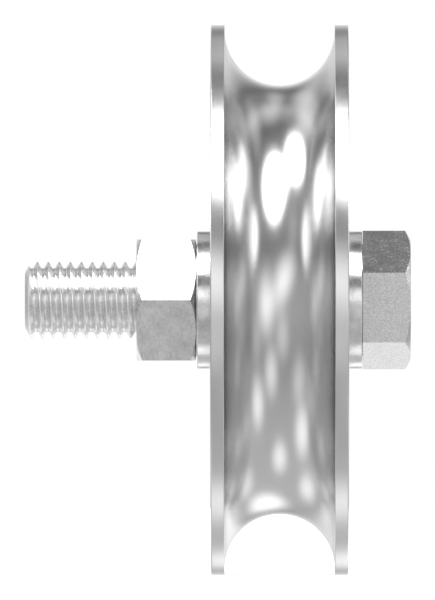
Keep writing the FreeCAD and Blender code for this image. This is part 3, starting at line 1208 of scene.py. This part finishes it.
@dataclass
class RetainingRing:
    """The stamped ring that holds the bearing in the wheel."""

    back: float = 4.4 * MM
    front: float = 3.0 * MM
    lug: float = 2.9 * MM
    lug_depth: float = 6.4 * MM
    lug_angle: float = 15.0
    hole: float = 1.25 * MM
    gap_angle: float = 7.0
    gap_reach: float = 1.3
    edge: float = 0.12 * MM
    shortest: float = 0.1 * MM
    spare: float = 1.0 * MM
    steps: int = 192
    lug_steps: int = 64
    hole_steps: int = 48

    def build(self) -> bpy.types.Object:
        """Stamp the ring.

        Returns:
            The finished ring.
        """
        reach = Reach.of("retaining_ring")
        ends = (reach.low, reach.high)
        past = (reach.low - self.spare, reach.high + self.spare)
        rim = -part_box("retaining_ring")[0].z
        inner = rim - (self.back + self.front) / 2
        shift = (self.back - self.front) / 2
        ring = bar("retaining_ring_stamped", self.steps, rim, ends)
        combine(ring, bar("ring_opening", self.steps, inner, past, place=(0, shift)), Join.TAKE_AWAY)
        path = rim - self.lug_depth + self.lug
        for sign in (-1, 1):
            angle = math.radians(self.lug_angle)
            place = (sign * path * math.sin(angle), path * math.cos(angle))
            combine(ring, bar("ring_lug", self.lug_steps, self.lug, ends, place=place), Join.ADD)
            combine(ring, bar("ring_hole", self.hole_steps, self.hole, past, place=place), Join.TAKE_AWAY)
        combine(ring, self._gap(past, self.gap_reach * rim), Join.TAKE_AWAY)
        return shade(cleaned(round_edges(cleaned(ring, self.shortest), self.edge)))

    def _gap(self, ends: Spot, reach: float) -> bpy.types.Object:
        """Make the wedge that opens the ring at the top.

        Args:
            ends: where it starts and ends along Y.
            reach: how far it reaches from the axle.

        Returns:
            The wedge.
        """
        half = math.radians(self.gap_angle)
        deselect()
        bpy.ops.mesh.primitive_cylinder_add(vertices=3, radius=MM, depth=ends[1] - ends[0])
        wedge = bpy.context.object
        for vertex in wedge.data.vertices:
            angle = math.atan2(vertex.co.x, vertex.co.y)
            side = round(angle / math.radians(TURN / 3))
            far = Vector((side * math.sin(half), math.cos(half))) * reach * abs(side)
            vertex.co = (far.x, vertex.co.z + (ends[0] + ends[1]) / 2, far.y)
        pick(wedge)
        bpy.ops.object.mode_set(mode="EDIT")
        bpy.ops.mesh.select_all(action="SELECT")
        bpy.ops.mesh.normals_make_consistent(inside=False)
        bpy.ops.object.mode_set(mode="OBJECT")
        return wedge

    def dress(self, finish: PlainSteel) -> bpy.types.Object:
        """Build the ring and give it its finish."""
        place = Seat("wheel", "ring_steel", ("retaining_ring",))
        return seat(self.build(), place, finish.material("spring_steel"))


@dataclass
class Bearing:
    """The sealed ball bearing. Its rings and seals are turned anew, and its balls and cage stay.

    seal_dip is how deep the web of a seal lies, and rib how high the rib on it is.
    """

    ball_path: float = 16.75 * MM
    ball: float = 3.969 * MM
    race_fit: float = 1.04
    race_play: float = 0.03 * MM
    shoulder: float = 1.65 * MM
    corner: float = 1.0 * MM
    seal_inset: float = 0.4 * MM
    seal_thickness: float = 1.2 * MM
    seal_step: float = 1.2 * MM
    seal_dip: float = 0.3 * MM
    rib: float = 0.15 * MM
    bead: float = 0.4 * MM
    bead_width: float = 0.8 * MM
    lip_step: float = 0.9 * MM
    lip_gap: float = 0.1 * MM
    lip_wall: float = 0.2 * MM
    bore: float = 10 * MM
    fine_edge: float = 0.1 * MM
    race_steps: int = 24
    steps: int = 256

    def __post_init__(self) -> None:
        """Work out the radii that rings and seals share."""
        reach = Reach.of("bearing_outer_ring")
        self.face = reach.high
        self.out = reach.out
        self.race = self.ball * self.race_fit
        self.outer_race = self.ball_path + self.ball + self.race_play
        self.inner_race = self.ball_path - self.ball - self.race_play
        self.outer_land = self.outer_race - self.shoulder
        self.inner_land = self.inner_race + self.shoulder
        self.race_half = math.sqrt(2 * self.race * self.shoulder - self.shoulder**2)
        self.seal_out = self.face - self.seal_inset
        self.seal_in = self.seal_out - self.seal_thickness
        self.seal_seat = self.outer_land + self.seal_step
        self.seal_snap = self.seal_seat + self.bead
        self.lip_land = self.inner_land - self.lip_step

    def outer_ring(self) -> bpy.types.Object:
        """Turn the outer ring with its race and the seats of the seals.

        Returns:
            The finished ring.
        """
        snap = self.seal_in + self.bead_width
        section = Section("bearing_outer_turned", (-self.face, self.out), self.corner).lines(
            (self.face, self.out, self.corner),
            (self.face, self.seal_seat, self.fine_edge),
            (snap, self.seal_seat, self.fine_edge),
            (snap, self.seal_snap),
            (self.seal_in, self.seal_snap),
            (self.seal_in, self.outer_land),
            (self.race_half, self.outer_land),
        )
        self._race(section, self.outer_race - self.race, 1)
        section.lines(
            (-self.seal_in, self.outer_land),
            (-self.seal_in, self.seal_snap),
            (-snap, self.seal_snap),
            (-snap, self.seal_seat, self.fine_edge),
            (-self.face, self.seal_seat, self.fine_edge),
        )
        return shade(section.turned(self.steps))

    def inner_ring(self) -> bpy.types.Object:
        """Turn the inner ring with its race and the steps for the seals' lips.

        Returns:
            The finished ring.
        """
        wall = self.seal_in - self.lip_wall
        section = Section("bearing_inner_turned", (self.face, self.bore), self.corner).lines(
            (-self.face, self.bore, self.corner),
            (-self.face, self.lip_land, self.fine_edge),
            (-wall, self.lip_land),
            (-wall, self.inner_land, self.fine_edge),
            (-self.race_half, self.inner_land),
        )
        self._race(section, self.inner_race + self.race, -1)
        section.lines(
            (wall, self.inner_land, self.fine_edge),
            (wall, self.lip_land),
            (self.face, self.lip_land, self.fine_edge),
        )
        return shade(section.turned(self.steps))

    def _race(self, section: Section, centre: float, way: int) -> None:
        """Draw a race.

        Args:
            section: the ring's outline, drawn up to the race.
            centre: how far from the axle the race's middle is.
            way: 1 from +Y to -Y over the top, -1 from -Y to +Y below.
        """
        start = math.degrees(math.atan2(section.pen[1] - centre, section.pen[0]))
        end = 180 - start if way > 0 else -180 - start
        section.arc((0, centre), end - start, self.race_steps)

    def seal(self, side: Side) -> bpy.types.Object:
        """Turn a seal: a bead, a web with a low rib, and a lip close to the inner ring.

        Args:
            side: the side of the wheel that it faces.

        Returns:
            The finished seal.
        """
        sign = side.value
        lip = self.lip_land + self.lip_gap
        face = self.seal_out
        low = face - self.seal_dip
        corners = (
            (self.seal_in, self.seal_snap, 0.15 * MM),
            (self.seal_in + self.bead_width, self.seal_snap, 0.15 * MM),
            (self.seal_in + self.bead_width, self.seal_seat, 0.05 * MM),
            (face, self.seal_seat, 0.2 * MM),
            (face, self.seal_seat - 1.2 * MM, 0.2 * MM),
            (low, self.seal_seat - 1.5 * MM, 0.2 * MM),
            (low, lip + 3.4 * MM, 0.1 * MM),
            (low + self.rib, lip + 3.2 * MM, 0.06 * MM),
            (low + self.rib, lip + 2.9 * MM, 0.06 * MM),
            (low, lip + 2.7 * MM, 0.1 * MM),
            (low, lip + 1.5 * MM, 0.2 * MM),
            (face, lip + 1.2 * MM, 0.25 * MM),
            (face - 0.6 * MM, lip, 0.12 * MM),
            (self.seal_in, lip, 0.1 * MM),
        )
        (along, out, radius), *others = ((sign * along, out, radius) for along, out, radius in corners)
        section = Section(f"seal_moulded_{side.word}", (along, out), radius).lines(*others)
        return shade(section.turned(self.steps))

    def dress(self, steel: PlainSteel, rubber: Rubber) -> None:
        """Build the rings and seals and give them their finishes.

        Args:
            steel: finish of the rings.
            rubber: finish of the seals.
        """
        ground = steel.material("bearing_steel_ground")
        skin = rubber.material("seal_rubber_skin")
        seat(self.outer_ring(), Seat("wheel", "bearing_steel", ("bearing_outer_ring",)), ground)
        seat(self.inner_ring(), Seat("axle", "bearing_steel", ("bearing_inner_ring",)), ground)
        for side in Side:
            place = Seat("wheel", "seal_rubber", (f"seal_{side.word}",))
            seat(self.seal(side), place, skin)


def dress_hidden(prefix: str, finish: PlainSteel) -> None:
    """Give the CAD nodes of one kind, which stay as they are, their finish.

    Args:
        prefix: how the nodes' names start.
        finish: what they are made of.
    """
    material = finish.material(f"{prefix}_finish")
    found = [node for name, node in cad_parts.items() if name.startswith(prefix)]
    for node in found:
        node.data.materials.clear()
        node.data.materials.append(material)
    log.info("%s: %d nodes keep their shape", prefix, len(found))


@dataclass(frozen=True)
class Softbox:
    """A soft light of the studio, as seen from the wheel.

    Directions are in degrees: rise is the angle from +X over the top in the plane across the axle, and
    swing is the angle out of that plane towards +Y. tall and wide are half its size in rise and swing.
    """

    rise: float
    swing: float
    tall: float
    wide: float
    glow: float
    tilt: float = 0.0
    soft: float = 0.6


STUDIO = (
    Softbox(64.5, 9.5, 22, 21, 3.2, soft=0.1),
    Softbox(86.5, -24, 18.3, 16.5, 3.0, soft=0.1),
    Softbox(45, 55, 20, 12, 1.8, soft=0.3),
    Softbox(45, -57, 22, 12, 1.8, soft=0.3),
    Softbox(120, 61, 37, 13, 3.0, soft=0.25),
    Softbox(112, -64, 41, 12, 3.0, soft=0.25),
    Softbox(1, 30, 14, 13, 0.45, soft=0.9),
    Softbox(11, -8, 9.5, 21, 1.0, tilt=25, soft=0.9),
    Softbox(-66, 40, 14, 9.5, 0.75, soft=0.8),
    Softbox(-40, 16.5, 11, 10, 0.7, soft=0.85),
    Softbox(-94, 0, 10, 8.5, 0.75, soft=0.8),
    Softbox(-142, 9, 11.5, 12, 1.0, soft=0.6),
    Softbox(-174, 16, 7.5, 8, 0.9, soft=0.35),
    Softbox(-170, -16, 10, 9, 0.35, soft=0.9),
    Softbox(-134, 34, 13, 6, 0.55, soft=0.8),
    Softbox(-130, -27, 11, 7, 0.7, soft=0.8),
    Softbox(-85, -36, 15, 9.5, 0.8, soft=0.8),
    Softbox(-48, -37, 12, 10, 0.4, soft=0.9),
    Softbox(-20, -6, 10, 10, 0.4, soft=0.9),
    Softbox(-26, 50, 12, 9, 0.25, soft=0.9),
    Softbox(-4, 27, 12, 13, 0.5, soft=0.9),
    Softbox(42, -26, 11, 9, 0.25, soft=0.9),
    Softbox(138, 3, 10, 5, 0.35, soft=0.8),
    Softbox(122, 10, 10, 8, 0.3, soft=0.8),
    Softbox(125, -30, 21, 9, 0.5, soft=0.8),
    Softbox(143, -18, 14, 7, 0.5, soft=0.8),
    Softbox(115, 30, 20, 6, 0.35, tilt=-8, soft=0.8),
    Softbox(-165, 28, 9, 11, 0.5, soft=0.7),
    Softbox(-165, -32, 9, 13, 0.6, soft=0.7),
    Softbox(72, -8, 12, 10, 2.0, soft=0.2),
)
# The room between the lamps, from behind under the wheel, round the front, to behind over it: rise, glow
ROOM = (
    (-180, 0.72), (-172, 0.40), (-164, 0.38), (-140, 0.58), (-110, 0.58), (-72, 0.52),
    (-54, 0.47), (-36, 0.35), (-22, 0.40), (-8, 0.46), (16, 0.40), (26, 0.21),
    (60, 0.28), (98, 0.17), (108, 0.12), (124, 0.55), (134, 0.22), (143, 0.25),
    (152, 0.12), (160, 0.42), (170, 0.66), (180, 0.72),
)


@dataclass(frozen=True)
class Studio:
    """The plain studio: white as the camera sees it, with soft lamps that the metal shows.

    backdrop says how far towards -X a reflection points where it shows the white backdrop alone, and
    where it starts to show it. lens and sensor are the camera's, in millimetres.
    """

    lamps: tuple[Softbox, ...] = STUDIO
    backdrop: Spot = (-0.99, -0.94)
    floor_out: float = 1.2
    floor_steps: int = 96
    floor_grey: float = 0.8
    floor_lift: float = 0.75
    key_place: tuple[float, float, float] = (0.5, -0.25, 1.1)
    key_size: float = 0.9
    key_energy: float = 9.0
    lens: float = 1240.0
    sensor: float = 36.0

    def world(self) -> None:
        """Light the scene by the room and its lamps, behind the white that the camera sees.

        The metal shows the lamps, and the white backdrop where it reflects straight backwards.
        """
        world = bpy.data.worlds.new("studio")
        bpy.context.scene.world = world
        world.use_nodes = True
        graph = Graph(world.node_tree)
        way = graph.node("ShaderNodeTexCoord", {}, {}).outputs["Generated"]
        across, along, up = graph.split(way)
        rise = up.math("ARCTAN2", across) * math.degrees(1)
        swing = along.math("ARCSINE") * math.degrees(1)
        at = graph.vector(rise, swing, 0.0)
        stops = [((angle + 180) / TURN, glow) for angle, glow in ROOM]
        room = graph.node(
            "ShaderNodeValToRGB", {"stops": stops}, {0: rise.ramp(-180, 180, smooth=False)}
        )
        glow = Num(graph, room.outputs[0])
        for lamp in self.lamps:
            inputs = {
                "Vector": at,
                "Location": (lamp.rise, lamp.swing, 0),
                "Rotation": (0, 0, math.radians(lamp.tilt)),
                "Scale": (lamp.tall, lamp.wide, 1),
            }
            placed = graph.node("ShaderNodeMapping", {"vector_type": "TEXTURE"}, inputs)
            far = graph.number(
                "ShaderNodeVectorMath", {"operation": "LENGTH"}, {0: placed.outputs[0]}, "Value"
            )
            glow = glow + far.ramp(1 - lamp.soft, 1 + lamp.soft, (lamp.glow, 0.0))
        light = graph.node("ShaderNodeBackground", {}, {"Color": glow, "Strength": 1.0})
        white = graph.node("ShaderNodeBackground", {}, {"Color": (1, 1, 1, 1), "Strength": 1.0})
        rays = graph.node("ShaderNodeLightPath", {}, {}).outputs
        glossy, passing = (Num(graph, rays[kind]) for kind in ("Is Glossy Ray", "Is Transmission Ray"))
        mirrored = glossy.math("MAXIMUM", passing)
        behind = across.ramp(*self.backdrop, (1.0, 0.0))
        share = Num(graph, rays["Is Camera Ray"]) + mirrored * behind
        mixed = {0: share, 1: light.outputs[0], 2: white.outputs[0]}
        seen = graph.node("ShaderNodeMixShader", {}, mixed)
        graph.node("ShaderNodeOutputWorld", {}, {"Surface": seen.outputs[0]})

    def floor(self, level: float) -> None:
        """Lay the pale floor. It is white to the camera, keeps the shadow, and the metal looks past it.

        Args:
            level: height of the floor.
        """
        deselect()
        bpy.ops.mesh.primitive_circle_add(
            vertices=self.floor_steps, radius=self.floor_out, fill_type="NGON", location=(0, 0, level)
        )
        piece = named(bpy.context.object, "studio_floor")
        bpy.ops.object.transform_apply(location=True, rotation=True, scale=True)
        material, graph = surface("floor_paint")
        rays = graph.node("ShaderNodeLightPath", {}, {}).outputs
        grey = (self.floor_grey,) * 3 + (1.0,)
        paint = graph.node("ShaderNodeBsdfDiffuse", {}, {"Color": grey})
        shine = Num(graph, rays["Is Camera Ray"]) * self.floor_lift
        lift = graph.node("ShaderNodeEmission", {}, {"Color": (1, 1, 1, 1), "Strength": shine})
        both = graph.node("ShaderNodeAddShader", {}, {0: paint.outputs[0], 1: lift.outputs[0]})
        clear = graph.node("ShaderNodeBsdfTransparent", {}, {})
        mixed = {0: rays["Is Glossy Ray"], 1: both.outputs[0], 2: clear.outputs[0]}
        seen = graph.node("ShaderNodeMixShader", {}, mixed)
        graph.node("ShaderNodeOutputMaterial", {}, {"Surface": seen.outputs[0]})
        piece.data.materials.append(material)

    def key_lamp(self) -> None:
        """Hang a broad soft lamp that the metal doesn't show, for the floor and the dark pieces."""
        deselect()
        bpy.ops.object.light_add(type="AREA", location=self.key_place)
        lamp = bpy.context.object
        lamp.name = "key_lamp"
        lamp.data.shape = "DISK"
        lamp.data.size = self.key_size
        lamp.data.energy = self.key_energy
        lamp.rotation_euler = (-Vector(self.key_place)).to_track_quat("-Z", "Y").to_euler()
        lamp.visible_glossy = False

    def camera(self) -> None:
        """Set the camera level with the axle and far off, so that the view is nearly parallel."""
        tall = PHOTO_TALL * PIXEL
        middle = (PHOTO_WIDE / 2 - PHOTO_MIDDLE) * PIXEL
        far = tall / 2 * self.lens / (self.sensor / 2)
        deselect()
        turn = math.radians(90) - math.atan2(middle, far)
        bpy.ops.object.camera_add(location=(far, 0, 0), rotation=(math.radians(90), 0, turn))
        camera = bpy.context.object
        camera.name = "photo_camera"
        camera.data.lens = self.lens
        camera.data.sensor_width = self.sensor
        camera.data.clip_start = 0.1
        camera.data.clip_end = 4 * far
        bpy.context.scene.camera = camera

    def build(self) -> None:
        """Set up camera, world, floor and lamp."""
        self.camera()
        self.world()
        self.floor(-Reach.of("wheel_body").out)
        self.key_lamp()
        bpy.context.scene.view_settings.view_transform = "Standard"


def main() -> None:
    """Build and dress the whole part, then the studio round it."""
    logging.basicConfig(level=logging.INFO, format="%(name)s: %(message)s")
    wheel = Wheel()
    groove = (wheel.rail, wheel.body.out - wheel.groove_depth)
    wheel.dress(TurnedZinc(groove=groove, face=wheel.body.high))
    collar_finish = TurnedZinc(
        grey=0.82,
        roughness=0.19,
        ring_depth=0.0006 * MM,
        cloud=0.5,
        cloud_size=1.6 * MM,
        wave_depth=0.03 * MM,
    )
    for side in Side:
        Collar(side).dress(collar_finish)
    bolt = Bolt()
    shank = (bolt.thread.crest + THREAD_MARGIN, bolt.thread_end)
    bolt.dress(GrainedZinc(thread=shank, pit_depth=0.0115 * MM, cloud=0.13, grain_shade=0.85))
    nut_finish = GrainedZinc(
        grey=0.86,
        cloud=0.6,
        grain=0.5 * MM,
        grain_shade=0.3,
        scratch=(0.15, 1.0, 0.15),
        scratch_shade=0.4,
    )
    Nut().dress(nut_finish)
    RetainingRing().dress(PlainSteel(grey=0.12, roughness=0.42, warmth=0.004))
    Bearing().dress(PlainSteel(grey=0.62, roughness=0.18), Rubber())
    dress_hidden("bearing_ball", PlainSteel(grey=0.75, roughness=0.05, depth=0.00005 * MM))
    dress_hidden("cage", PlainSteel(grey=0.55, roughness=0.3))
    Studio().build()


if __name__ == "__main__":
    main()
